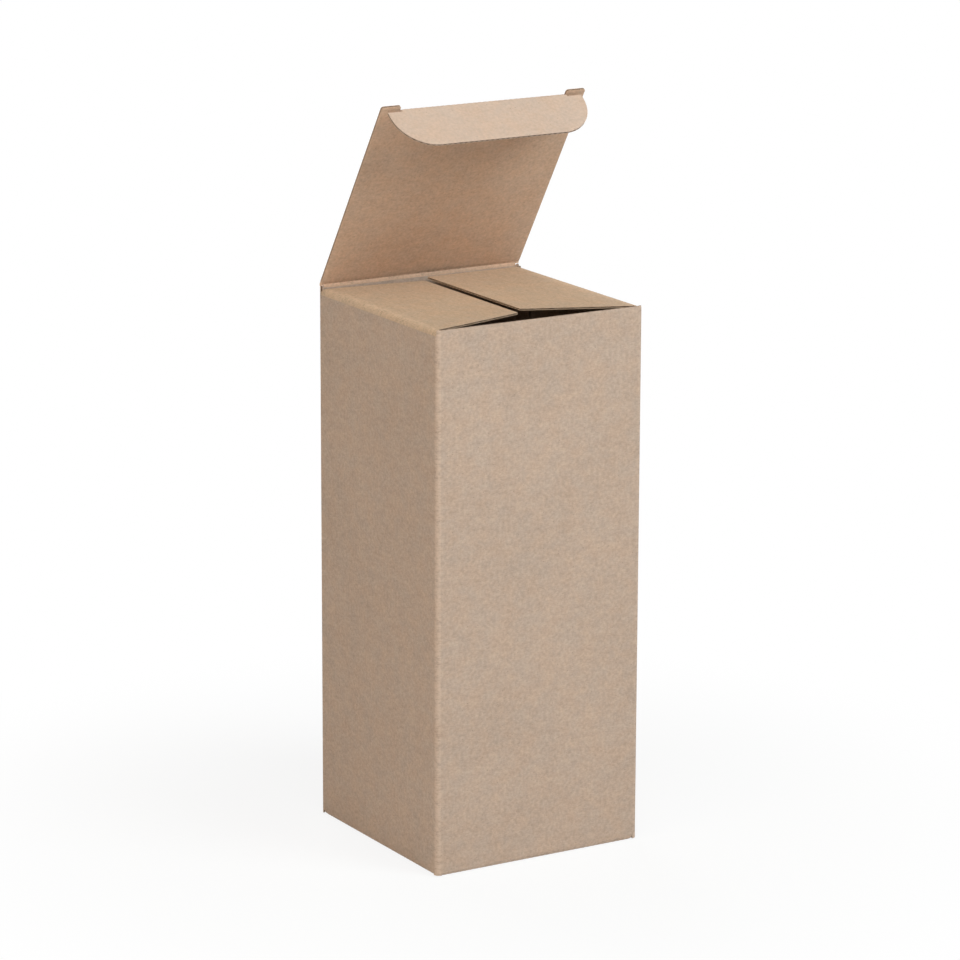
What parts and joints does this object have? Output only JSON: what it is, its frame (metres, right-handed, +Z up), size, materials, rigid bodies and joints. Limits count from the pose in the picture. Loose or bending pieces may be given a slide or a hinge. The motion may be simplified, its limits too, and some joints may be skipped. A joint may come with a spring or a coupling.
{
  "type": "tuck-top corrugated bottle carton",
  "caption": "Tall folded kraft carton for a spirits bottle, with dust flaps, an open hinged lid and a rounded tuck flap.",
  "frame": {"origin": "centre of the base, on the surface the carton stands on", "axes": "+Z up along the carton's height; the front panel that the tuck flap goes behind faces -Y, and the lid is hinged on the back panel at +Y"},
  "size_m": [0.13, 0.13, 0.4162],
  "materials": {
    "kraft_outside": "matt unbleached kraft board",
    "kraft_lid": "matt unbleached kraft board, inner liner",
    "kraft_tuck": "matt unbleached kraft board"
  },
  "bodies": {
    "carton": {"carton_body": "kraft_outside"},
    "lid": {"lid": "kraft_lid"},
    "tuck": {"tuck_flap": "kraft_tuck"}
  },
  "joints": [
    {"name": "lid_hinge", "type": "hinge", "parent": "carton", "child": "lid", "pos_m": [0, 0.06425, 0.30725], "axis": [-1, 0, 0], "range_deg": [-57.5, 77.5]},
    {"name": "tuck_fold", "type": "hinge", "parent": "lid", "child": "tuck", "pos_m": [0, -0.00372, 0.41394], "axis": [1, 0, 0], "range_deg": [-96, 12]}
  ]
}
